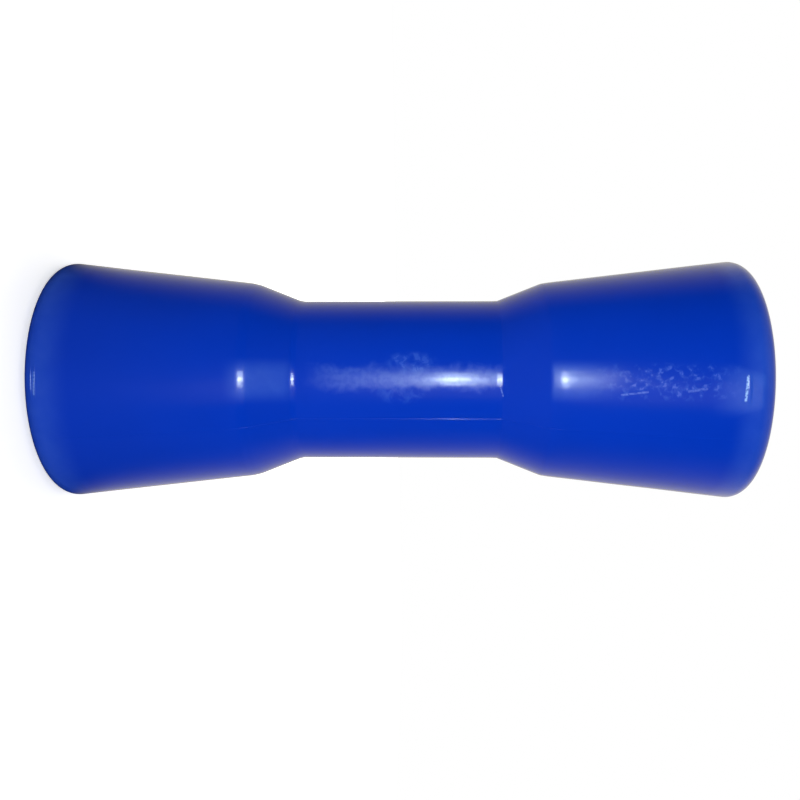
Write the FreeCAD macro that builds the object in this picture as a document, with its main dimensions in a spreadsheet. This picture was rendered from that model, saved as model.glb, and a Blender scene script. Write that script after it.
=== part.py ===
import FreeCAD, Part
import os
from typing import NamedTuple

import Sketcher

# A boat trailer's keel roller: one solid moulding with a straight hole for the trailer's pin.
# It stands on its bottom end face, with the axis along +Z and the origin in the middle of that
# face. The two long halves of its mould met in the YZ plane. Every size is in millimetres.

# Driving sizes: a name, its value, and what it measures.
SIZES = (
    ("overall_length", 300.0, "from end face to end face"),
    ("end_diameter", 105.6, "where an end cone would reach the end face, before the rim is rounded"),
    ("shoulder_diameter", 85.8, "where an end cone meets a step cone"),
    ("waist_diameter", 70.0, "the straight waist that carries the keel"),
    ("shoulder_spacing", 126.5, "from shoulder to shoulder, along the axis"),
    ("waist_length", 86.6, "from corner to corner of the waist, along the axis"),
    ("rim_rounding", 6.8, "radius between an end cone and its end face"),
    ("shoulder_rounding", 8.0, "radius over a shoulder"),
    ("waist_rounding", 12.0, "radius in a corner of the waist"),
    ("bore_diameter", 17.0, "hole for a 16 mm pin"),
    ("bore_chamfer", 1.5, "lead-in at both mouths of the hole"),
    ("seam_width", 0.6, "ridge that the joint between the mould's halves left, across it"),
    ("seam_height", 0.15, "how far the ridge stands out of the surface"),
    ("seam_margin", 1.7, "from one rim rounding below an end face to the ridge's end"),
)

# Places that the sketches share, worked out from the sizes.
SHOULDER_DEPTH = "(Sizes.overall_length - Sizes.shoulder_spacing) / 2"
WAIST_DEPTH = "(Sizes.overall_length - Sizes.waist_length) / 2"
SEAM_DEPTH = "(Sizes.rim_rounding + Sizes.seam_margin)"
TAPER = "(Sizes.end_diameter - Sizes.shoulder_diameter) / (Sizes.overall_length - Sizes.shoulder_spacing)"
RADIUS_AT_SEAM_END = f"Sizes.end_diameter / 2 - {TAPER} * {SEAM_DEPTH}"


class Corner(NamedTuple):
    """A corner of an outline, with its sizes as expressions on the sheet.

    A distance from the roller's axis or a height of None puts the corner on the sketch's own
    axis, and a rounding of None leaves it sharp.
    """

    name: str
    distance: str | None
    height: str | None
    rounding: str | None = None


def from_top(depth):
    """A height over the bottom end face, given as a depth below the top one."""
    return f"Sizes.overall_length - {depth}"


def add_sizes(doc):
    """Put the driving sizes on the document's sheet, one row each."""
    sheet = doc.addObject("Spreadsheet::Sheet", "Sizes")
    for row, (name, value, meaning) in enumerate(SIZES, start=1):
        sheet.set(f"A{row}", name)
        sheet.set(f"B{row}", str(value))
        sheet.set(f"C{row}", meaning)
        sheet.setAlias(f"B{row}", name)
    doc.recompute()


def origin_feature(body, role):
    """One of a body's own origin planes or axes."""
    return next(feature for feature in body.Origin.OriginFeatures if feature.Role == role)


def add_sketch(body, name, role):
    """An empty sketch on one of the body's origin planes."""
    sketch = body.newObject("Sketcher::SketchObject", name)
    sketch.AttachmentSupport = (origin_feature(body, role), "")
    sketch.MapMode = "FlatFace"
    sketch.Visibility = False
    return sketch


def bind(sketch, name, kind, places, size):
    """Add one dimension to a sketch and tie it to an expression on the sheet."""
    index = sketch.addConstraint(Sketcher.Constraint(kind, *places, sketch.evalExpression(size)))
    sketch.renameConstraint(index, name)
    sketch.setExpression(f"Constraints.{name}", size)


def place_corner(sketch, side, corner):
    """Dimension the corner at the start of one side, or put it on the sketch's own axes."""
    if corner.distance:
        bind(sketch, f"{corner.name}_distance", "DistanceX", (-1, 1, side, 1), corner.distance)
    else:
        sketch.addConstraint(Sketcher.Constraint("PointOnObject", side, 1, -2))
    if corner.height:
        bind(sketch, f"{corner.name}_height", "DistanceY", (-1, 1, side, 1), corner.height)
    else:
        sketch.addConstraint(Sketcher.Constraint("PointOnObject", side, 1, -1))


def round_corner(sketch, side, corner):
    """Round the corner at the start of one side. Its dimensions stay at the sharp point."""
    sketch.fillet(side, 1, sketch.evalExpression(corner.rounding), True, True)
    arc = max(index for index, shape in enumerate(sketch.Geometry) if isinstance(shape, Part.ArcOfCircle))
    bind(sketch, f"{corner.name}_rounding", "Radius", (arc,), corner.rounding)


def draw_outline(sketch, corners):
    """Draw a closed outline, x out from the roller's axis and y up it, through its corners."""
    points = []
    for corner in corners:
        distance = sketch.evalExpression(corner.distance or "0")
        height = sketch.evalExpression(corner.height or "0")
        points.append(FreeCAD.Vector(distance, height, 0))
    sides = [
        sketch.addGeometry(Part.LineSegment(start, end), False)
        for start, end in zip(points, points[1:] + points[:1])
    ]
    for side, following in zip(sides, sides[1:] + sides[:1]):
        sketch.addConstraint(Sketcher.Constraint("Coincident", side, 2, following, 1))
    for side, corner in zip(sides, corners):
        place_corner(sketch, side, corner)
    for side, corner in zip(sides, corners):
        if corner.rounding:
            round_corner(sketch, side, corner)


def middle_corners(lift):
    """The shoulders and the waist's corners, on an outline that stands out of the surface.

    Standing out makes the rounding over a shoulder larger, and the one in a waist's corner smaller.
    """
    shoulder = f"Sizes.shoulder_diameter / 2 + {lift}"
    over_shoulder = f"Sizes.shoulder_rounding + {lift}"
    waist = f"Sizes.waist_diameter / 2 + {lift}"
    in_waist = f"Sizes.waist_rounding - {lift}"
    return (
        Corner("bottom_shoulder", shoulder, SHOULDER_DEPTH, over_shoulder),
        Corner("bottom_waist", waist, WAIST_DEPTH, in_waist),
        Corner("top_waist", waist, from_top(WAIST_DEPTH), in_waist),
        Corner("top_shoulder", shoulder, from_top(SHOULDER_DEPTH), over_shoulder),
    )


def add_turned_form(body):
    """The whole outline, turned: rim, end cone, shoulder, step cone and waist, and out again."""
    sketch = add_sketch(body, "half_section", "YZ_Plane")
    rim = "Sizes.end_diameter / 2"
    draw_outline(
        sketch,
        (
            Corner("bottom_centre", None, None),
            Corner("bottom_rim", rim, None, "Sizes.rim_rounding"),
            *middle_corners("0"),
            Corner("top_rim", rim, "Sizes.overall_length", "Sizes.rim_rounding"),
            Corner("top_centre", None, "Sizes.overall_length"),
        ),
    )
    turned = body.newObject("PartDesign::Revolution", "turned_form")
    turned.Profile = sketch
    turned.ReferenceAxis = (origin_feature(body, "Z_Axis"), [""])
    turned.Angle = 360


def add_seams(body):
    """The mould's witness lines, two thin ridges that follow the outline from rim to rim."""
    sketch = add_sketch(body, "seam_section", "YZ_Plane")
    seam_end = f"{RADIUS_AT_SEAM_END} + Sizes.seam_height"
    draw_outline(
        sketch,
        (
            Corner("bottom_core", None, SEAM_DEPTH),
            Corner("bottom_end", seam_end, SEAM_DEPTH),
            *middle_corners("Sizes.seam_height"),
            Corner("top_end", seam_end, from_top(SEAM_DEPTH)),
            Corner("top_core", None, from_top(SEAM_DEPTH)),
        ),
    )
    seam = body.newObject("PartDesign::Pad", "seam")
    seam.Profile = sketch
    seam.Midplane = True
    seam.setExpression("Length", "Sizes.seam_width")
    pair = body.newObject("PartDesign::PolarPattern", "seam_pair")
    pair.Originals = [seam]
    pair.Axis = (origin_feature(body, "Z_Axis"), [""])
    pair.Angle = 360
    pair.Occurrences = 2
    body.Tip = pair


def add_bore(body):
    """The pin's hole, right through from end face to end face."""
    sketch = add_sketch(body, "bore_circle", "XY_Plane")
    radius = sketch.evalExpression("Sizes.bore_diameter / 2")
    circle = sketch.addGeometry(Part.Circle(FreeCAD.Vector(), FreeCAD.Vector(0, 0, 1), radius), False)
    sketch.addConstraint(Sketcher.Constraint("Coincident", circle, 3, -1, 1))
    bind(sketch, "bore", "Diameter", (circle,), "Sizes.bore_diameter")
    bore = body.newObject("PartDesign::Pocket", "bore")
    bore.Profile = sketch
    bore.Type = "ThroughAll"
    bore.Midplane = True
    return bore


def add_bore_chamfers(body, bore):
    """The lead-in at both mouths of the hole, on the circles of the hole's own radius."""
    radius = bore.evalExpression("Sizes.bore_diameter / 2")
    near = Part.Precision.confusion()
    mouths = [
        f"Edge{index}"
        for index, edge in enumerate(bore.Shape.Edges, start=1)
        if isinstance(edge.Curve, Part.Circle) and abs(edge.Curve.Radius - radius) < near
    ]
    chamfer = body.newObject("PartDesign::Chamfer", "bore_mouths")
    chamfer.Base = (bore, mouths)
    chamfer.setExpression("Size", "Sizes.bore_chamfer")


def build_roller(doc):
    """Model the roller: the turned form, the mould's seams and the pin's hole."""
    body = doc.addObject("PartDesign::Body", "Roller")
    body.Label = "keel_roller"
    body.Placement = FreeCAD.Placement()
    add_turned_form(body)
    add_seams(body)
    bore = add_bore(body)
    doc.recompute()
    add_bore_chamfers(body, bore)
    doc.recompute()
    return body


def check(doc, body):
    """Stop if a feature failed, a sketch is loose or the roller isn't one sound solid."""
    for item in doc.Objects:
        if "Invalid" in item.State or "Error" in item.State:
            raise RuntimeError(f"{item.Name} failed: {item.State}")
        if item.TypeId == "Sketcher::SketchObject" and not item.FullyConstrained:
            raise RuntimeError(f"{item.Name} isn't fully constrained")
    shape = body.Shape
    if shape.isNull() or not shape.isValid() or len(shape.Solids) != 1:
        raise RuntimeError(f"{body.Label} isn't one valid solid")


def main():
    """Build the document, check it and write the part."""
    doc = FreeCAD.newDocument("keel_roller")
    add_sizes(doc)
    body = build_roller(doc)
    check(doc, body)
    os.makedirs("parts", exist_ok=True)
    body.Shape.exportStep(f"parts/{body.Label}.step")
    box = body.Shape.optimalBoundingBox(False, False)
    print(f"{body.Label}: {box.XLength:.2f} x {box.YLength:.2f} x {box.ZLength:.2f} mm")
    print(f"volume {body.Shape.Volume / 1e6:.4f} litres, {len(body.Shape.Faces)} faces")


main()
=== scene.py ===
"""The looks of a boat trailer's keel roller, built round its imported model.

The roller is one blue moulding with a pin hole, and it stands on its end. It is drawn here as one
closed surface, with the ridges of its mould's seams, short fine ridges near its rims and a slightly
uneven skin. Every length is in metres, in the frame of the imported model, and every angle is in
radians where nothing else is said.
"""

import logging
import math
from dataclasses import dataclass
from enum import Enum
from functools import reduce

import bpy
import numpy as np
from mathutils import Matrix, Vector


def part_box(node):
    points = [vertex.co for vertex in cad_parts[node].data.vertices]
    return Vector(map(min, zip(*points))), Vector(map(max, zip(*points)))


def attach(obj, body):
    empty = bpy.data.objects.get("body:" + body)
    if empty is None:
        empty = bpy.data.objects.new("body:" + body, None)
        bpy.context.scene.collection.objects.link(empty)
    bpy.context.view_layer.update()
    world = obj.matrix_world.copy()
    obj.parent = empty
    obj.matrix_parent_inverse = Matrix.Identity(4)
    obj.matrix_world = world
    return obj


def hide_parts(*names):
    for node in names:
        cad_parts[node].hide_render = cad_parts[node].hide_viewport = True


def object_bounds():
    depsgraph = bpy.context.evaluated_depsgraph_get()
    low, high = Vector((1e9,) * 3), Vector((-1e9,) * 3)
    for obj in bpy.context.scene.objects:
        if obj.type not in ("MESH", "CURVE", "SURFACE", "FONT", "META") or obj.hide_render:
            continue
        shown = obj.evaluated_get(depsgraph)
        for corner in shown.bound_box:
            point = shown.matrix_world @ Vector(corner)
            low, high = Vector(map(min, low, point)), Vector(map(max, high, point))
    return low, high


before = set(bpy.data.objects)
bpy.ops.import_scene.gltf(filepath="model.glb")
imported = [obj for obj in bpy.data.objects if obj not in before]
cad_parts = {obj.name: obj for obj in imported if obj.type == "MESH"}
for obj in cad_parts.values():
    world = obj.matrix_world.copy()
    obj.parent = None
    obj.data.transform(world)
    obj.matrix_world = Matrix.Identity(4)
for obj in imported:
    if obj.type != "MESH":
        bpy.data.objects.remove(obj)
CAD_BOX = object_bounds()

LOG = logging.getLogger("keel_roller")
MILLIMETRE = 0.001
FACING_DEGREES = -28.0  # azimuth of the side that the main view looks at, from -Y towards +X
FACING_AZIMUTH = math.radians(FACING_DEGREES)

Colour = tuple[float, float, float]
WHITE: Colour = (1.0, 1.0, 1.0)
FLASH_BLUE: Colour = (0.80, 0.95, 1.0)


@dataclass(frozen=True)
class Corner:
    """One corner of the roller's outline, and how finely the outline is cut there."""

    distance: float  # from the roller's axis
    height: float  # over the bottom end face
    rounding: float  # radius that rounds the corner
    arc_step: float  # angle between two rows of points in the rounding
    side_step: float  # length between two rows of points on the side that follows


class Outline:
    """A closed outline of straight sides and tangent arcs, walked with the plastic on its left."""

    def __init__(self, corners: list[Corner]) -> None:
        """Work out where each arc and each side starts, how long it is and how it bends.

        The arc at a corner starts and ends at its radius times tan(turn / 2) from the corner.

        Args:
            corners: the sharp corners in order, anticlockwise in the plane of distance and height.
        """
        points = np.array([(corner.distance, corner.height) for corner in corners])
        radius = np.array([corner.rounding for corner in corners])
        side = np.roll(points, -1, axis=0) - points
        leaving = np.arctan2(side[:, 1], side[:, 0])
        arriving = np.roll(leaving, 1)
        turn = (leaving - arriving + math.pi) % (2 * math.pi) - math.pi
        setback = radius * np.abs(np.tan(turn / 2))
        direction = np.stack([np.cos(leaving), np.sin(leaving)], axis=1)
        arc_start = points - setback[:, None] * np.roll(direction, 1, axis=0)
        side_start = points + setback[:, None] * direction
        side_length = np.hypot(side[:, 0], side[:, 1]) - setback - np.roll(setback, -1)
        self._start = np.stack([arc_start, side_start], axis=1).reshape(-1, 2)
        self._heading = np.stack([arriving, leaving], axis=1).ravel()
        self._bend = np.stack([np.sign(turn) / radius, np.zeros_like(turn)], axis=1).ravel()
        self._length = np.stack([radius * np.abs(turn), side_length], axis=1).ravel()
        self._reach = np.concatenate([[0.0], np.cumsum(self._length)])
        arc_steps = np.abs(turn) / [corner.arc_step for corner in corners]
        side_steps = side_length / [corner.side_step for corner in corners]
        self._steps = np.ceil(np.stack([arc_steps, side_steps], axis=1).ravel()).astype(int)

    def corner_start(self, corner: int) -> float:
        """How far round the outline one corner's arc starts."""
        return float(self._reach[2 * corner])

    def stations(self) -> np.ndarray:
        """Places round the outline, in order, cut as finely as each arc and side asks."""
        cuts = [
            np.linspace(start, end, steps, endpoint=False)
            for start, end, steps in zip(self._reach[:-1], self._reach[1:], self._steps)
        ]
        return np.concatenate(cuts)

    def at(self, station: np.ndarray) -> tuple[np.ndarray, np.ndarray]:
        """Points and outward directions at some places round the outline.

        A side and an arc follow one formula: the chord from the piece's start has a length of
        u sin(bu/2) / (bu/2), for a walk of u along a bend of b, and points half way between the
        headings at its two ends. Outward is the heading turned a quarter to the right.

        Args:
            station: how far round the outline each point lies.

        Returns:
            The points and the outward directions, each with a distance and a height.
        """
        piece = np.clip(np.searchsorted(self._reach, station, side="right") - 1, 0, len(self._bend) - 1)
        walk = station - self._reach[piece]
        swing = self._bend[piece] * walk
        chord = walk * np.sinc(swing / (2 * math.pi))
        half_way = self._heading[piece] + swing / 2
        towards = np.stack([np.cos(half_way), np.sin(half_way)], axis=1)
        heading = self._heading[piece] + swing
        outward = np.stack([np.sin(heading), -np.cos(heading)], axis=1)
        return self._start[piece] + chord[:, None] * towards, outward


@dataclass(frozen=True)
class ArcRidge:
    """A fine raised line, or a shallow hollow, that runs part of the way round the roller."""

    height: float  # over the bottom end face
    width: float
    proud: float  # how far it stands out of the surface, less than 0 for a hollow
    middle: float  # angle of its middle, from the facing line towards the -Y seam
    half_arc: float  # angle from its middle to either end

    def relief(self, height: np.ndarray, angle: np.ndarray) -> np.ndarray:
        """How far the ridge stands out: in squared cosines across it, with outer halves that fade out.

        Args:
            height: over the bottom end face.
            angle: round the axis from +X.

        Returns:
            The relief.
        """
        off_line = np.clip((height - self.height) / self.width, -0.5, 0.5)
        facing = FACING_AZIMUTH - math.pi / 2
        off_middle = np.abs((angle - facing - self.middle + math.pi) % (2 * math.pi) - math.pi)
        ends = np.clip(2.0 * (1.0 - off_middle / self.half_arc), 0.0, 1.0)
        return self.proud * ends * np.cos(math.pi * off_line) ** 2


@dataclass(frozen=True)
class Break:
    """A short, gentler slope that breaks a sharp corner of the outline."""

    outer: float  # along the axis, from the sharp corner towards the end face
    inner: float  # along the axis, from the sharp corner towards the middle
    outer_rounding: float
    inner_rounding: float


@dataclass(frozen=True)
class Breaks:
    """Both breaks of one step."""

    shoulder: Break
    waist: Break


BOTTOM_RIM, TOP_MOUTH = 1, 11  # two corners of the outline, by their number in its list
SKIN_SAMPLES = 4001  # places between them, from which a ridge's height is looked up
ROWS_ACROSS_RIDGE = 11
PLACE_DIGITS = 7  # places on the outline are rounded to this many digits, so that none comes twice


@dataclass(frozen=True)
class KeelRoller:
    """The roller's driving sizes and marks, and the surface that they give."""

    node: str = "keel_roller"
    end_diameter: float = 0.1056  # where an end cone would reach the end face
    shoulder_diameter: float = 0.0858
    waist_diameter: float = 0.070
    shoulder_spacing: float = 0.1265
    waist_length: float = 0.0866
    rim_rounding: float = 0.0068
    bottom_breaks: Breaks = Breaks(
        shoulder=Break(outer=0.0019, inner=0.0016, outer_rounding=0.013, inner_rounding=0.012),
        waist=Break(outer=0.00104, inner=0.0012, outer_rounding=0.005, inner_rounding=0.008),
    )
    top_breaks: Breaks = Breaks(
        shoulder=Break(outer=0.0028, inner=0.00065, outer_rounding=0.078, inner_rounding=0.008),
        waist=Break(outer=0.00028, inner=0.0022, outer_rounding=0.0014, inner_rounding=0.014),
    )
    bore_diameter: float = 0.017
    bore_chamfer: float = 0.0015
    edge_rounding: float = 0.0003  # both edges of a chamfer, worn off just enough to glint
    skin_step: float = 0.0015  # length between two rows of points on the skin
    face_step: float = 0.0045  # and on an end face
    bore_step: float = 0.025
    skin_arc_step: float = math.radians(2.5)  # angle between two rows in a rounding of the skin
    rim_arc_step: float = math.radians(3.75)
    edge_arc_step: float = math.radians(11.25)
    column_count: int = 232  # columns of points round the axis, without the extra ones at the seams
    seam_flanks: tuple[float, float] = (0.00022, 0.00090)  # a ridge's steep side, on -X, and its slack one
    seam_height: float = 0.00010
    seam_end: float = 0.0085  # from an end face to the end of a seam
    seam_fade: float = 0.0015  # length over which a seam's end rises
    cone_seam_share: float = 0.35  # of the seams' height, left on the end cones
    cone_seam_step: float = 0.006  # length past a shoulder over which a seam comes down to that
    # Extra columns beside a seam, as numbers of steps away from it and the angle of one step.
    seam_columns: tuple[tuple[range, float], ...] = ((range(1, 7), 0.0014), (range(4, 9), 0.0030))
    ridges: tuple[ArcRidge, ...] = (  # two near the bottom rim and one near the top rim
        ArcRidge(height=0.0046, width=0.0007, proud=0.00026, middle=0.01, half_arc=0.15),
        ArcRidge(height=0.0063, width=0.0007, proud=0.00020, middle=0.01, half_arc=0.15),
        ArcRidge(height=0.2882, width=0.0024, proud=0.00018, middle=0.07, half_arc=0.12),
    )
    # A shallow hollow on the upper end cone.
    sink: ArcRidge = ArcRidge(height=0.2305, width=0.0300, proud=-0.00010, middle=0.0, half_arc=1.2)
    unevenness: float = 0.000025  # height of the skin's long, shallow waves
    wave_count: int = 9
    wave_lobes: tuple[int, int] = (0, 5)  # whole waves round the roller, the last number left out
    wave_turns: tuple[float, float] = (1.0, 9.0)  # waves along the roller
    seed: int = 7

    def outline(self, length: float) -> Outline:
        """The whole section of one wall, from the bore's bottom mouth round to it again.

        Args:
            length: from end face to end face.

        Returns:
            The closed outline. From its corner BOTTOM_RIM it climbs the skin and crosses the top
            end face to its corner TOP_MOUTH.
        """
        rim, hole = self.end_diameter / 2, self.bore_diameter / 2
        mouth = hole + self.bore_chamfer
        edge = (self.edge_rounding, self.edge_arc_step)
        round_rim = (self.rim_rounding, self.rim_arc_step)
        bottom = self.step_corners(length, self.bottom_breaks)
        top = self.step_corners(length, self.top_breaks)[::-1]
        steps = [*bottom, *((distance, length - depth, rounding) for distance, depth, rounding in top)]
        return Outline([
            Corner(mouth, 0.0, *edge, self.face_step),
            Corner(rim, 0.0, *round_rim, self.skin_step),
            *(Corner(*corner, self.skin_arc_step, self.skin_step) for corner in steps),
            Corner(rim, length, *round_rim, self.face_step),
            Corner(mouth, length, *edge, self.skin_step),
            Corner(hole, length - self.bore_chamfer, *edge, self.bore_step),
            Corner(hole, self.bore_chamfer, *edge, self.skin_step),
        ])

    def step_corners(self, length: float, breaks: Breaks) -> list[tuple[float, float, float]]:
        """The corners of one step, from its shoulder in to the waist.

        The sharp shoulder and the sharp waist corner are each broken by a short, gentler slope,
        whose two corners lie on the end cone, the step cone or the waist.

        Args:
            length: from end face to end face.
            breaks: the slopes that break its corners.

        Returns:
            The distance from the axis, the depth from the end face and the rounding of each.
        """
        shoulder, waist = self.shoulder_diameter / 2, self.waist_diameter / 2
        shoulder_depth = (length - self.shoulder_spacing) / 2
        waist_depth = (length - self.waist_length) / 2
        taper = (self.end_diameter / 2 - shoulder) / shoulder_depth
        slope = (shoulder - waist) / (waist_depth - shoulder_depth)
        over, under = breaks.shoulder, breaks.waist
        return [
            (shoulder + taper * over.outer, shoulder_depth - over.outer, over.outer_rounding),
            (shoulder - slope * over.inner, shoulder_depth + over.inner, over.inner_rounding),
            (waist + slope * under.outer, waist_depth - under.outer, under.outer_rounding),
            (waist, waist_depth + under.inner, under.inner_rounding),
        ]

    def rows(self, outline: Outline) -> np.ndarray:
        """Places round the outline, with extra ones across each arc ridge.

        Args:
            outline: the closed outline.

        Returns:
            The places in order.
        """
        start, end = outline.corner_start(BOTTOM_RIM), outline.corner_start(TOP_MOUTH)
        skin = np.linspace(start, end, SKIN_SAMPLES)
        heights = outline.at(skin)[0][:, 1]
        across = np.linspace(-0.5, 0.5, ROWS_ACROSS_RIDGE)
        extra = [np.interp(ridge.height, heights, skin) + ridge.width * across for ridge in self.ridges]
        places = np.concatenate([outline.stations(), *extra])
        return np.unique(np.round(places, PLACE_DIGITS))

    def columns(self) -> np.ndarray:
        """Angles round the axis, with extra ones across both seams."""
        around = np.linspace(0.0, 2 * math.pi, self.column_count, endpoint=False)
        beside = np.concatenate([np.array(steps) * step for steps, step in self.seam_columns])
        extra = [seam + side * beside for seam in (math.pi / 2, 1.5 * math.pi) for side in (-1, 1)]
        return np.unique(np.concatenate([around, *extra]))

    def relief(
        self, distance: np.ndarray, height: np.ndarray, angle: np.ndarray, length: float
    ) -> np.ndarray:
        """How far the skin stands out of the plain turned form.

        A seam is a ridge whose sides are squared cosines, one steep and one slack, at equal widths
        all the way along, and lower on the end cones. The unevenness is a sum of long cosine waves
        that run both round and along the roller. All of it has died out at the end faces.

        Args:
            distance: from the axis, one row for each place on the outline.
            height: over the bottom end face, in the same rows.
            angle: round the axis, one column for each.
            length: from end face to end face.

        Returns:
            One height of relief for each row and column.
        """
        from_end = np.minimum(height, length - height)
        off_seam = distance * np.cos(angle)
        steep, slack = self.seam_flanks
        flank = np.where(off_seam < 0.0, off_seam / steep, off_seam / slack)
        ridge = np.cos(math.pi / 2 * np.clip(flank, -1.0, 1.0)) ** 2
        ends = np.clip((from_end - self.seam_end) / self.seam_fade, 0.0, 1.0)
        past_shoulder = np.abs(height - length / 2) - self.shoulder_spacing / 2
        on_cone = np.clip(past_shoulder / self.cone_seam_step, 0.0, 1.0)
        share = 1.0 - (1.0 - self.cone_seam_share) * on_cone
        relief = self.seam_height * ridge * ends * share
        for mark in (*self.ridges, self.sink):
            relief = relief + mark.relief(height, angle)
        chance = np.random.default_rng(self.seed)
        skin = np.clip(from_end / self.rim_rounding, 0.0, 1.0)
        for _ in range(self.wave_count):
            lobes = chance.integers(*self.wave_lobes)
            turns = chance.uniform(*self.wave_turns)
            phase = chance.uniform(0.0, 2 * math.pi)
            wave = np.cos(lobes * angle + 2 * math.pi * turns * height / length + phase)
            relief = relief + self.unevenness / math.sqrt(self.wave_count) * skin * wave
        return relief

    def surface(self) -> np.ndarray:
        """The roller's skin as a grid of points that closes on itself both ways.

        A point is the outline's point, turned round the axis by its angle and moved out by the
        relief along the outline's outward direction.

        Returns:
            The points, in rows round the outline and columns round the axis.
        """
        low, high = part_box(self.node)
        length = high.z - low.z
        outline = self.outline(length)
        points, outward = outline.at(self.rows(outline))
        distance, height = points[:, :1], points[:, 1:]
        angle = self.columns()[None, :]
        on_skin = distance > self.bore_diameter  # twice the bore's radius, so clear of its mouths
        relief = np.where(on_skin, self.relief(distance, height, angle, length), 0.0)
        reach = distance + relief * outward[:, :1]
        rise = height + relief * outward[:, 1:] + low.z
        return np.stack([reach * np.cos(angle), reach * np.sin(angle), rise], axis=-1)

    def build(self, finish: bpy.types.Material) -> bpy.types.Object:
        """Make the roller's mesh, dress it and set it in the place of its node.

        Args:
            finish: the material that it is made of.

        Returns:
            The finished piece.
        """
        piece = closed_grid("roller_moulding", self.surface())
        piece.data.materials.append(finish)
        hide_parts(self.node)
        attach(piece, "root")
        LOG.info("%s: %d faces", piece.name, len(piece.data.polygons))
        return piece


def closed_grid(name: str, points: np.ndarray) -> bpy.types.Object:
    """A smooth mesh from a grid of points whose last row and column meet the first ones.

    Args:
        name: the piece's name.
        points: rows and columns of points. Rows times columns turn the outward way.

    Returns:
        The new object, in the scene.
    """
    rows, columns = points.shape[:2]
    index = np.arange(rows * columns).reshape(rows, columns)
    beside = np.roll(index, -1, axis=1)
    corners = np.stack([index, beside, np.roll(beside, -1, axis=0), np.roll(index, -1, axis=0)], axis=-1)
    mesh = bpy.data.meshes.new(name)
    mesh.vertices.add(rows * columns)
    mesh.vertices.foreach_set("co", points.astype(np.float32).ravel())
    mesh.loops.add(corners.size)
    mesh.loops.foreach_set("vertex_index", corners.astype(np.int32).ravel())
    mesh.polygons.add(index.size)
    mesh.polygons.foreach_set("loop_start", np.arange(0, corners.size, 4, dtype=np.int32))
    mesh.update(calc_edges=True)
    mesh.validate()
    mesh.shade_smooth()
    piece = bpy.data.objects.new(name, mesh)
    bpy.context.scene.collection.objects.link(piece)
    return piece


class Number:
    """A number that a shader works out. Python's operators add its Math nodes."""

    def __init__(self, tree: "ShaderTree", socket: bpy.types.NodeSocket) -> None:
        """Wrap one output socket of a tree."""
        self.tree = tree
        self.socket = socket

    def maths(self, operation: str, *terms: "Number | float") -> "Number":
        """The result of a Math node of one operation on some terms."""
        node = self.tree.add("ShaderNodeMath", {"operation": operation}, dict(enumerate(terms)))
        return Number(self.tree, node.outputs[0])

    def __add__(self, other: "Number | float") -> "Number":
        """Sum."""
        return self.maths("ADD", self, other)

    def __radd__(self, other: float) -> "Number":
        """Sum, with a plain number first."""
        return self.maths("ADD", other, self)

    def __sub__(self, other: "Number | float") -> "Number":
        """Difference."""
        return self.maths("SUBTRACT", self, other)

    def __rsub__(self, other: float) -> "Number":
        """Difference, from a plain number."""
        return self.maths("SUBTRACT", other, self)

    def __mul__(self, other: "Number | float") -> "Number":
        """Product."""
        return self.maths("MULTIPLY", self, other)

    def __rmul__(self, other: float) -> "Number":
        """Product, with a plain number first."""
        return self.maths("MULTIPLY", other, self)

    def __truediv__(self, other: "Number | float") -> "Number":
        """Quotient."""
        return self.maths("DIVIDE", self, other)

    def __rtruediv__(self, other: float) -> "Number":
        """Quotient of a plain number."""
        return self.maths("DIVIDE", other, self)

    def __pow__(self, other: "Number | float") -> "Number":
        """Power."""
        return self.maths("POWER", self, other)

    def __rpow__(self, other: float) -> "Number":
        """Power of a plain number."""
        return self.maths("POWER", other, self)

    def __abs__(self) -> "Number":
        """Size without its sign."""
        return self.maths("ABSOLUTE", self)

    def at_most(self, other: "Number | float") -> "Number":
        """The smaller of two."""
        return self.maths("MINIMUM", self, other)

    def at_least(self, other: "Number | float") -> "Number":
        """The larger of two."""
        return self.maths("MAXIMUM", self, other)

    def angle_from(self, other: "Number") -> "Number":
        """The angle whose tangent is this number over another."""
        return self.maths("ARCTAN2", self, other)

    def rise(self, low: float, high: float) -> "Number":
        """A smooth step from 0 at one value to 1 at another."""
        settings = {"interpolation_type": "SMOOTHSTEP"}
        sockets = {"Value": self, "From Min": low, "From Max": high, "To Min": 0.0, "To Max": 1.0}
        node = self.tree.add("ShaderNodeMapRange", settings, sockets)
        return Number(self.tree, node.outputs["Result"])

    def fall(self, low: float, high: float) -> "Number":
        """A smooth step from 1 at one value to 0 at another."""
        return 1.0 - self.rise(low, high)


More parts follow.
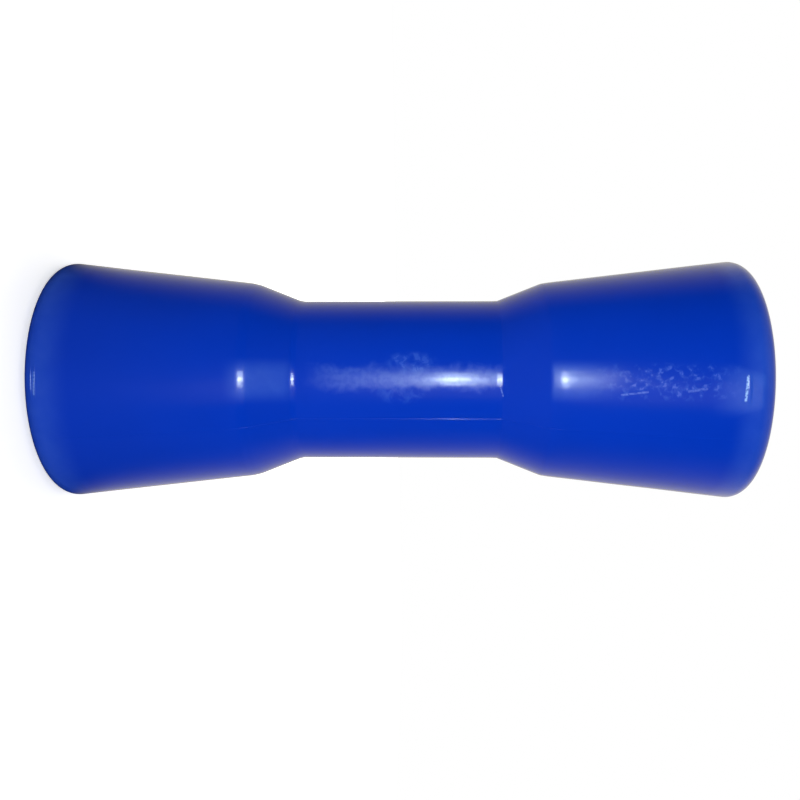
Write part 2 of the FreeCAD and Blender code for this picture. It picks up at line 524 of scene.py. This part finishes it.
class ShaderTree:
    """The node tree of a material or a world, built from an empty one."""

    def __init__(self, owner: bpy.types.Material | bpy.types.World) -> None:
        """Empty the owner's tree and add its output node."""
        owner.use_nodes = True
        self.nodes = owner.node_tree.nodes
        self.links = owner.node_tree.links
        self.nodes.clear()
        is_world = isinstance(owner, bpy.types.World)
        self.output = self.add("ShaderNodeOutputWorld" if is_world else "ShaderNodeOutputMaterial")

    def add(self, kind: str, settings: dict | None = None, sockets: dict | None = None) -> bpy.types.Node:
        """Add one node.

        Args:
            kind: the node's type.
            settings: its options by name, which are set first.
            sockets: values or links of its inputs, by name or number.

        Returns:
            The node.
        """
        node = self.nodes.new(kind)
        for name, setting in (settings or {}).items():
            setattr(node, name, setting)
        for name, value in (sockets or {}).items():
            self.feed(node.inputs[name], value)
        return node

    def feed(self, target: bpy.types.NodeSocket, value: object) -> None:
        """Link an input to another node's output, or set its value."""
        if isinstance(value, Number):
            self.links.new(value.socket, target)
        elif isinstance(value, bpy.types.NodeSocket):
            self.links.new(value, target)
        elif isinstance(value, tuple) and target.type == "RGBA":
            target.default_value = (*value, 1.0)
        else:
            target.default_value = value

    def number(self, node: bpy.types.Node, output: str | int = 0) -> Number:
        """One output of a node, as a number."""
        return Number(self, node.outputs[output])

    def split(self, vector: bpy.types.NodeSocket) -> tuple[Number, Number, Number]:
        """The three parts of a vector, as numbers."""
        node = self.add("ShaderNodeSeparateXYZ", sockets={"Vector": vector})
        return self.number(node, "X"), self.number(node, "Y"), self.number(node, "Z")

    def mix_colour(self, share: Number, first: object, second: object) -> bpy.types.NodeSocket:
        """A blend of two colours, all of the second where the share is 1."""
        node = self.add("ShaderNodeMix", {"data_type": "RGBA"}, {0: share, 6: first, 7: second})
        return node.outputs[2]


@dataclass(frozen=True)
class Grain:
    """The features of smooth noise."""

    size: float
    layers: float = 2.0  # how many finer layers it has
    warp: float = 0.0  # how much it is bent
    contrast: tuple[float, float] = (0.0, 1.0)  # noise that becomes 0 and 1 where it shows as patches


class Skin:
    """The coordinates that the patterns on the roller's skin follow."""

    def __init__(self, tree: ShaderTree) -> None:
        """Measure up the roller from its bottom end face, and round it from the facing line.

        The girth is the angle from the facing line, towards the -Y seam, times the distance from
        the axis. It jumps on the far side, where each mark that follows it has already ended.

        Args:
            tree: the material's tree.
        """
        self.tree = tree
        self.place = tree.add("ShaderNodeTexCoord").outputs["Object"]
        turn = (0.0, 0.0, math.pi / 2 - FACING_AZIMUTH)
        turned = tree.add("ShaderNodeMapping", sockets={"Vector": self.place, "Rotation": turn})
        towards, self.sideways, self.along = tree.split(turned.outputs["Vector"])
        reach = (towards * towards + self.sideways * self.sideways) ** 0.5
        self.girth = self.sideways.angle_from(towards) * reach

    def noise(self, grain: Grain) -> Number:
        """Smooth noise from 0 to 1."""
        sockets = {
            "Vector": self.place,
            "Scale": 1 / grain.size,
            "Detail": grain.layers,
            "Distortion": grain.warp,
        }
        return self.tree.number(self.tree.add("ShaderNodeTexNoise", sockets=sockets), "Fac")

    def patches(self, grain: Grain) -> Number:
        """Smooth noise, sharpened into patches of 0 and 1 by the grain's contrast."""
        return self.noise(grain).rise(*grain.contrast)


WHOLE_SHARE = 0.2  # of a stroke's width, or of a smear's squared distance, before it starts to fade


@dataclass(frozen=True)
class Stroke:
    """A short mark on the skin, from one place to another: a scratch, or a painted glint."""

    height: float  # where it starts, over the bottom end face
    girth: float  # where it starts, round the skin from the facing line, towards the -Y seam
    end_height: float
    end_girth: float
    width: float
    paleness: float  # how much it whitens the plastic, or how bright a painted glint is

    def mask(self, skin: Skin) -> Number:
        """Where the mark lies: its paleness on its line, falling to 0 at its width.

        The nearest place on the line is the start plus the walk along it, held between its ends.

        Args:
            skin: the coordinates.

        Returns:
            The mask.
        """
        length = math.hypot(self.end_height - self.height, self.end_girth - self.girth)
        run = (self.end_height - self.height) / length
        drift = (self.end_girth - self.girth) / length
        up, round_it = skin.along - self.height, skin.girth - self.girth
        walk = (up * run + round_it * drift).at_least(0.0).at_most(length)
        off_up, off_round = up - walk * run, round_it - walk * drift
        gap = (off_up * off_up + off_round * off_round) ** 0.5
        return gap.fall(WHOLE_SHARE * self.width, self.width) * self.paleness


@dataclass(frozen=True)
class Smear:
    """An oval smear on the skin."""

    height: float  # of its middle, over the bottom end face
    girth: float  # of its middle, round the skin from the facing line, towards the -Y seam
    thickness: float
    half_height: float = 0.012
    half_girth: float = 0.0055

    def mask(self, skin: Skin) -> Number:
        """Where the smear lies: its thickness in the middle, falling to 0 at the oval's edge.

        The squared distances up and round, each over its half size squared, add up to 1 there.

        Args:
            skin: the coordinates.

        Returns:
            The mask.
        """
        up = (skin.along - self.height) / self.half_height
        round_it = (skin.girth - self.girth) / self.half_girth
        return (up**2 + round_it**2).fall(WHOLE_SHARE, 1.0) * self.thickness


@dataclass(frozen=True)
class Zone:
    """A stretch of the skin with soft limits, to both sides of a line along the roller."""

    start: tuple[float, float]  # heights between which it sets in
    end: tuple[float, float]  # heights between which it ends
    line: float  # round the skin from the facing line, towards the -Y seam
    sides: tuple[float, float]  # distances from its line between which it ends
    share: float = 1.0  # the mask's value inside it

    def mask(self, along: Number, girth: Number) -> Number:
        """Where the zone lies: its share inside, and 0 outside.

        Args:
            along: height over the bottom end face.
            girth: distance round the skin from the facing line.

        Returns:
            The mask.
        """
        beside = abs(girth - self.line).fall(*self.sides)
        return along.rise(*self.start) * along.fall(*self.end) * beside * self.share


@dataclass(frozen=True)
class Wear:
    """The masks of what wear and handling left on the skin, and of painted sheen and glints."""

    patch: Number  # where the keel has rubbed, whose pale tint is painted sheen
    # rim film, and painted sheen round highlights
    film_and_sheen: Number
    # scratches, and painted glints near the rims
    strokes: Number
    marks: Number  # smears, rubbed spots, scratches and painted glints together


@dataclass(frozen=True)
class GlossBlueMoulding:
    """Glossy blue plastic, as it comes from a polished mould and after some handling, with painted shade,
    sheen and glints in its colour.
    """

    blue: Colour = (0.0005, 0.034, 0.46)
    # the deeper blue of clouds, and of the painted shade towards the bottom end
    deep_and_shaded_blue: Colour = (0.0005, 0.027, 0.38)
    # pale blue of scuffs and film, which also paints sheen, reflection and glints
    scuffed_and_sheen_blue: Colour = (0.040, 0.135, 0.62)
    # whitened blue of scratches, and of the painted glints near the rims
    scratch_and_glint_blue: Colour = (0.32, 0.54, 0.96)
    cloud: Grain = Grain(0.045, 3.0, contrast=(0.3, 0.7))
    cloud_depth: float = 0.25  # share of the deep blue in a cloud
    bottom_shade_depth: float = 0.4  # and on the bottom end cone, where it is painted shade
    bottom_shade_heights: tuple[float, float] = (0.04, 0.11)  # heights between which that fades out
    worn_sheen_paleness: float = 0.28  # share of the pale blue in the worn patch, a painted sheen of the highlight's haze on the facing line
    # share of the pale blue in the film, as dust and as painted sheen and reflection
    film_and_sheen_paleness: float = 0.5
    # share of the pale blue in the marks, which also brightens the painted glints
    mark_paleness: float = 0.5
    specular_level: float = 0.24
    roughness: float = 0.125
    worn_roughness: float = 0.143
    scuffed_roughness: float = 0.40
    roughness_spread: float = 0.03  # how far the fine grain moves the roughness
    haze: float = 0.16  # weight of a wider gloss over the narrow one
    worn_haze: float = 1.0
    film_haze: float = 0.8  # share of the worn haze in the film
    haze_roughness: float = 0.316
    fine_grain: Grain = Grain(0.0022, 3.0)
    pits: Grain = Grain(0.0009, 1.0)
    swells: Grain = Grain(0.012, 1.0)
    grain_relief: float = 0.006  # the reliefs are in millimetres
    pit_relief: float = 0.0006
    worn_pit_relief: float = 0.0022  # added in the worn patch
    swell_relief: float = 0.02
    stroke_relief: float = -0.02
    worn_zone: Zone = Zone(start=(0.110, 0.126), end=(0.190, 0.196), line=-0.0010, sides=(0.0020, 0.0067))
    raggedness: float = 0.008  # how far noise moves the worn zone's limits
    ragged: Grain = Grain(0.006, 4.0, 0.5)
    mottle: Grain = Grain(0.0024, 3.0, contrast=(0.30, 0.62))
    mottle_depth: float = 0.4
    bottom_rim: tuple[float, float] = (0.004, 0.020)  # heights between which the film fades out
    top_rim: tuple[float, float] = (0.282, 0.294)  # heights between which it sets in
    # the pale rim film: dust, and a painted reflection of the surroundings in the rim roundings
    rim_film_and_reflection: float = 0.7
    side_film: float = 0.5  # added on the side away from the -Y seam
    side_film_limits: tuple[float, float] = (-0.052, -0.030)  # sideways, where that fades out
    # painted sheen round highlights: beside the painted glint near the top rim, on the bottom shoulder and
    # step, and on the top shoulder
    sheen_zones: tuple[Zone, ...] = (
        Zone(start=(0.272, 0.290), end=(0.293, 0.297), line=0.0045, sides=(0.005, 0.012)),
        Zone(start=(0.078, 0.089), end=(0.103, 0.108), line=0.0005, sides=(0.003, 0.0105), share=0.8),
        Zone(start=(0.2115, 0.2140), end=(0.216, 0.246), line=0.0008, sides=(0.004, 0.0095), share=0.8),
    )
    film_grain: Grain = Grain(0.010, 4.0, 0.4)
    film_least: float = 0.4  # share of the film where its noise is 0
    film_spread: float = 0.8  # share that the noise adds
    smears: tuple[Smear, ...] = (Smear(0.156, -0.0072, 0.8), Smear(0.151, 0.0055, 0.5))
    smear_grain: Grain = Grain(0.004, 5.0, 0.5, contrast=(0.38, 0.66))
    speck_zone: Zone = Zone(start=(0.218, 0.252), end=(0.278, 0.288), line=0.001, sides=(0.005, 0.0085))
    speck_grain: Grain = Grain(0.0026, 3.0, 0.3, contrast=(0.46, 0.78))
    strokes: tuple[Stroke, ...] = (
        Stroke(0.2398, 0.0061, 0.2498, 0.0049, 0.0006, 0.18),
        Stroke(0.2655, 0.0046, 0.2720, 0.0036, 0.0008, 0.15),
        Stroke(0.1925, 0.0028, 0.1937, 0.0068, 0.0004, 0.30),
        # painted glints of the flash on the fine ridges near the top rim and the bottom rim
        Stroke(0.2874, -0.0015, 0.2872, 0.0032, 0.0007, 0.80),
        Stroke(0.2871, 0.0036, 0.2868, 0.0082, 0.0007, 0.90),
        Stroke(0.0061, -0.0027, 0.0059, 0.0060, 0.0006, 0.32),
        Stroke(0.0046, -0.0020, 0.0046, 0.0040, 0.0005, 0.20),
    )
    stroke_grain: Grain = Grain(0.0010, contrast=(0.25, 0.60))

    def material(self) -> bpy.types.Material:
        """Build the plastic's material.

        Returns:
            The material. A narrow gloss lies under a wider haze, and marks dull the first.
        """
        material = bpy.data.materials.new("gloss_blue_moulding")
        tree = ShaderTree(material)
        skin = Skin(tree)
        wear = self.wear(skin)
        grain = skin.noise(self.fine_grain) - 0.5
        worn = wear.patch * (self.worn_roughness - self.roughness)
        plain = self.roughness + worn + grain * self.roughness_spread
        hazy = wear.patch.at_least(wear.film_and_sheen * self.film_haze)
        bump = tree.add("ShaderNodeBump", sockets={
            "Height": self.relief(skin, wear, grain),
            "Distance": MILLIMETRE,
            "Strength": 1.0,
        })
        plastic = tree.add("ShaderNodeBsdfPrincipled", sockets={
            "Base Color": self.colour(skin, wear),
            "Roughness": plain + wear.marks * (self.scuffed_roughness - plain),
            "Specular IOR Level": self.specular_level,
            "Coat Weight": self.haze + hazy * (self.worn_haze - self.haze),
            "Coat Roughness": self.haze_roughness,
            "Normal": bump.outputs["Normal"],
        })
        tree.feed(tree.output.inputs["Surface"], plastic.outputs["BSDF"])
        return material

    def colour(self, skin: Skin, wear: Wear) -> bpy.types.NodeSocket:
        """The blue: deeper in clouds, darker towards the bottom end as painted shade, and paler where wear
        has marked it and where painted sheen and glints lie.

        Args:
            skin: the coordinates.
            wear: the masks of the wear.

        Returns:
            The colour.
        """
        # painted shade: more of the deep blue towards the bottom end
        bottom = skin.along.fall(*self.bottom_shade_heights) * self.bottom_shade_depth
        depth = skin.patches(self.cloud) * self.cloud_depth + bottom
        blue = skin.tree.mix_colour(depth, self.blue, self.deep_and_shaded_blue)
        pale = (
            # painted sheen: the worn patch's pale tint on the facing line
            wear.patch * self.worn_sheen_paleness,
            # painted sheen and reflection: the film's pale tint
            wear.film_and_sheen * self.film_and_sheen_paleness,
            wear.marks * self.mark_paleness,
        )
        for share in pale:
            blue = skin.tree.mix_colour(share, blue, self.scuffed_and_sheen_blue)
        # painted glints and scratches: strokes mixed towards the whitened blue
        return skin.tree.mix_colour(wear.strokes, blue, self.scratch_and_glint_blue)

    def relief(self, skin: Skin, wear: Wear, grain: Number) -> Number:
        """The height of fine grain, pits, long swells and strokes, added up.

        Args:
            skin: the coordinates.
            wear: the masks of the wear.
            grain: the fine grain's noise, round 0.

        Returns:
            The height in millimetres.
        """
        pits = (skin.noise(self.pits) - 0.5) * (self.pit_relief + wear.patch * self.worn_pit_relief)
        swells = skin.noise(self.swells) * self.swell_relief
        return grain * self.grain_relief + pits + swells + wear.strokes * self.stroke_relief

    def wear(self, skin: Skin) -> Wear:
        """All the wear: the keel's patch, the film, smears, rubbed spots and scratches, with painted sheen
        and painted glints.

        Args:
            skin: the coordinates.

        Returns:
            The masks.
        """
        smears = reduce(Number.at_least, (smear.mask(skin) for smear in self.smears))
        smears = smears * skin.patches(self.smear_grain)
        specks = self.speck_zone.mask(skin.along, skin.girth) * skin.patches(self.speck_grain)
        strokes = reduce(Number.at_least, (stroke.mask(skin) for stroke in self.strokes))
        strokes = strokes * skin.patches(self.stroke_grain)
        marks = smears.at_least(specks).at_least(strokes)
        return Wear(self.worn_patch(skin), self.film_and_sheen(skin), strokes, marks)

    def worn_patch(self, skin: Skin) -> Number:
        """Where the keel has rubbed the waist hazy: a long patch on the facing line, with ragged sides,
        whose pale tint paints the highlight's sheen.

        Args:
            skin: the coordinates.

        Returns:
            The mask.
        """
        ragged = (skin.noise(self.ragged) - 0.5) * self.raggedness
        mottle = skin.patches(self.mottle) * self.mottle_depth + (1.0 - self.mottle_depth)
        return self.worn_zone.mask(skin.along + ragged, skin.girth + ragged) * mottle

    def film_and_sheen(self, skin: Skin) -> Number:
        """A pale, cloudy mask: a dusty film on both rims that also paints their reflection, and painted
        sheen on the bottom step, the top shoulder and beside the painted glint near the top rim.

        Args:
            skin: the coordinates.

        Returns:
            The mask.
        """
        # the rim film is dust and painted reflection, and the zones are painted sheen
        thickness = skin.sideways.fall(*self.side_film_limits) * self.side_film + self.rim_film_and_reflection
        rims = skin.along.fall(*self.bottom_rim).at_least(skin.along.rise(*self.top_rim))
        zones = (zone.mask(skin.along, skin.girth) for zone in self.sheen_zones)
        cloud = skin.noise(self.film_grain) * self.film_spread + self.film_least
        return (reduce(Number.at_least, zones, rims * thickness) * cloud).at_most(1.0)


class Reach(Enum):
    """What a lamp does to the gloss: shows in it, or only lights the surface."""

    MIRRORED = True
    SOFT_ONLY = False


@dataclass(frozen=True)
class Lamp:
    """An area lamp that aims at the middle of the roller."""

    name: str
    azimuth: float  # in degrees, 0 in front on -Y, 90 on +X
    elevation: float  # in degrees
    distance: float
    size: tuple[float, float]  # across and along the roller
    level: float  # 1 renders a facing colour as it is written
    colour: Colour = WHITE
    reach: Reach = Reach.SOFT_ONLY

    def build(self, target: Vector) -> bpy.types.Object:
        """Make the lamp. Its power is level times pi squared times the squared distance.

        Args:
            target: the point that it aims at.

        Returns:
            The lamp's object.
        """
        light = bpy.data.lights.new(self.name, "AREA")
        light.shape = "RECTANGLE"
        light.size, light.size_y = self.size
        light.color = self.colour
        light.energy = self.level * math.pi**2 * self.distance**2
        lamp = bpy.data.objects.new(self.name, light)
        bpy.context.scene.collection.objects.link(lamp)
        out = direction(math.radians(self.azimuth), math.radians(self.elevation))
        lamp.location = target + out * self.distance
        lamp.rotation_euler = out.to_track_quat("Z", "Y").to_euler()
        lamp.visible_camera = False
        lamp.visible_glossy = self.reach.value
        LOG.info("lamp %s: %.2f W", self.name, light.energy)
        return lamp


def direction(azimuth: float, elevation: float) -> Vector:
    """The way out from the roller at an azimuth from -Y towards +X and an elevation, in radians."""
    level = math.cos(elevation)
    return Vector((math.sin(azimuth) * level, -math.cos(azimuth) * level, math.sin(elevation)))


@dataclass(frozen=True)
class Studio:
    """A plain white studio: floor, surroundings, lamps and the camera."""

    floor_half: float = 4.0
    floor_white: Colour = (0.8, 0.8, 0.8)
    floor_glow: tuple[float, float] = (0.55, 0.95)  # added to the lit floor for the camera, near and far
    floor_near: tuple[float, float] = (0.25, 0.80)  # distances from the axis between which it grows
    surroundings_tint: Colour = (1.0, 0.95, 0.86)
    behind_level: float = 0.66  # how bright the far side of the studio shows in the gloss
    above_level: float = 0.30
    behind_range: tuple[float, float] = (-0.1, 0.8)  # where that sets in, as cosines from straight behind
    above_range: tuple[float, float] = (0.35, 0.95)  # and as cosines from straight above
    camera_distance: float = 0.4097
    camera_elevation: float = math.radians(1.713)
    camera_aim: tuple[float, float] = (0.0003, -0.0092)  # from the roller's middle, right and up
    camera_roll: float = math.radians(0.08)
    lens: float = 40.95
    lamps: tuple[Lamp, ...] = (
        Lamp("flash", FACING_DEGREES, 4.9, 0.41, (0.018, 0.012), 0.085, FLASH_BLUE, Reach.MIRRORED),
        Lamp("flash_glow", FACING_DEGREES, 4.9, 0.41, (0.120, 0.014), 0.143, FLASH_BLUE, Reach.MIRRORED),
        Lamp("near", FACING_DEGREES, 4.9, 0.41, (0.10, 0.10), 0.17),
        Lamp("front", -14.0, 8.0, 3.0, (1.2, 1.2), 0.38),
        Lamp("side", 72.0, 5.0, 3.0, (2.0, 2.0), 0.34),
        Lamp("back", 152.0, 20.0, 3.0, (2.0, 2.0), 0.40),
        Lamp("top", 0.0, 89.0, 1.50, (1.0, 1.0), 0.15),
    )

    def build(self) -> None:
        """Make the whole studio round the roller."""
        low, high = CAD_BOX
        middle = (low + high) / 2
        self.floor(low.z)
        self.surroundings()
        for lamp in self.lamps:
            lamp.build(middle)
        self.camera(middle)

    def floor(self, level: float) -> None:
        """The floor: one square.

        Args:
            level: its height.
        """
        half = self.floor_half
        corners = [(-half, -half, level), (half, -half, level), (half, half, level), (-half, half, level)]
        mesh = bpy.data.meshes.new("floor")
        mesh.from_pydata(corners, [], [(0, 1, 2, 3)])
        mesh.materials.append(self.floor_finish())
        floor = bpy.data.objects.new("floor", mesh)
        bpy.context.scene.collection.objects.link(floor)
        LOG.info("floor: %.1f m wide", 2 * half)

    def floor_finish(self) -> bpy.types.Material:
        """A pale finish that shows white to the camera and still takes shadows.

        Returns:
            The material.
        """
        material = bpy.data.materials.new("pale_floor")
        tree = ShaderTree(material)
        path = tree.add("ShaderNodeLightPath")
        place = tree.add("ShaderNodeTexCoord").outputs["Object"]
        matt = tree.add("ShaderNodeBsdfDiffuse", sockets={"Color": self.floor_white})
        near, far = self.floor_glow
        distance = tree.add("ShaderNodeVectorMath", {"operation": "LENGTH"}, {0: place})
        level = near + tree.number(distance, "Value").rise(*self.floor_near) * (far - near)
        seen = tree.number(path, "Is Camera Ray")
        glow = tree.add("ShaderNodeEmission", sockets={"Strength": seen * level})
        plain = tree.add("ShaderNodeAddShader", sockets={0: matt.outputs[0], 1: glow.outputs[0]})
        mirrored = tree.add("ShaderNodeEmission", sockets={
            "Color": self.surroundings_tint,
            "Strength": self.gloss_level(tree, place),
        })
        both = tree.add("ShaderNodeMixShader", sockets={
            0: tree.number(path, "Is Glossy Ray"),
            1: plain.outputs[0],
            2: mirrored.outputs[0],
        })
        tree.feed(tree.output.inputs["Surface"], both.outputs[0])
        return material

    def gloss_level(self, tree: ShaderTree, place: bpy.types.NodeSocket) -> Number:
        """How bright the studio shows in the gloss: dark in front, pale behind, dim above.

        Args:
            tree: the tree that works it out.
            place: a vector out from the roller, of any length.

        Returns:
            The strength.
        """
        out = tree.add("ShaderNodeVectorMath", {"operation": "NORMALIZE"}, {0: place}).outputs["Vector"]
        away = tuple(-direction(FACING_AZIMUTH, 0.0))
        dot = tree.add("ShaderNodeVectorMath", {"operation": "DOT_PRODUCT"}, {0: out, 1: away})
        behind = tree.number(dot, "Value").rise(*self.behind_range)
        above = tree.split(out)[2].rise(*self.above_range)
        return behind * self.behind_level + above * (1.0 - behind) * self.above_level

    def surroundings(self) -> None:
        """The world round the studio, plain white to the camera."""
        world = bpy.data.worlds.new("surroundings")
        bpy.context.scene.world = world
        tree = ShaderTree(world)
        place = tree.add("ShaderNodeTexCoord").outputs["Generated"]
        seen = tree.number(tree.add("ShaderNodeLightPath"), "Is Camera Ray")
        strength = self.gloss_level(tree, place) * (1.0 - seen) + seen
        colour = tree.mix_colour(seen, self.surroundings_tint, WHITE)
        sky = tree.add("ShaderNodeBackground", sockets={"Color": colour, "Strength": strength})
        tree.feed(tree.output.inputs["Surface"], sky.outputs[0])
        LOG.info("surroundings: %.2f behind", self.behind_level)

    def camera(self, middle: Vector) -> None:
        """The camera, turned so that the roller's axis runs from left to right.

        Args:
            middle: the point that it aims at.
        """
        lens = bpy.data.cameras.new("camera")
        lens.lens = self.lens
        lens.dof.use_dof = False
        camera = bpy.data.objects.new("camera", lens)
        bpy.context.scene.collection.objects.link(camera)
        out = direction(FACING_AZIMUTH, self.camera_elevation)
        axis = Vector((0.0, 0.0, 1.0))
        above = out.cross(axis).normalized()
        place = middle + out * self.camera_distance
        aim = middle + axis * self.camera_aim[0] + above * self.camera_aim[1]
        back = (place - aim).normalized()
        right = axis + above * math.tan(self.camera_roll)
        right = (right - back * right.dot(back)).normalized()
        turned = Matrix((right, back.cross(right), back)).transposed().to_4x4()
        camera.matrix_world = Matrix.Translation(place) @ turned
        bpy.context.scene.camera = camera
        LOG.info("camera: %.4f m away", self.camera_distance)


def main() -> None:
    """Dress the roller and set up its studio."""
    logging.basicConfig(level=logging.INFO, format="%(name)s %(message)s")
    view = bpy.context.scene.view_settings
    view.view_transform = "Standard"
    KeelRoller().build(GlossBlueMoulding().material())
    Studio().build()


if __name__ == "__main__":
    main()
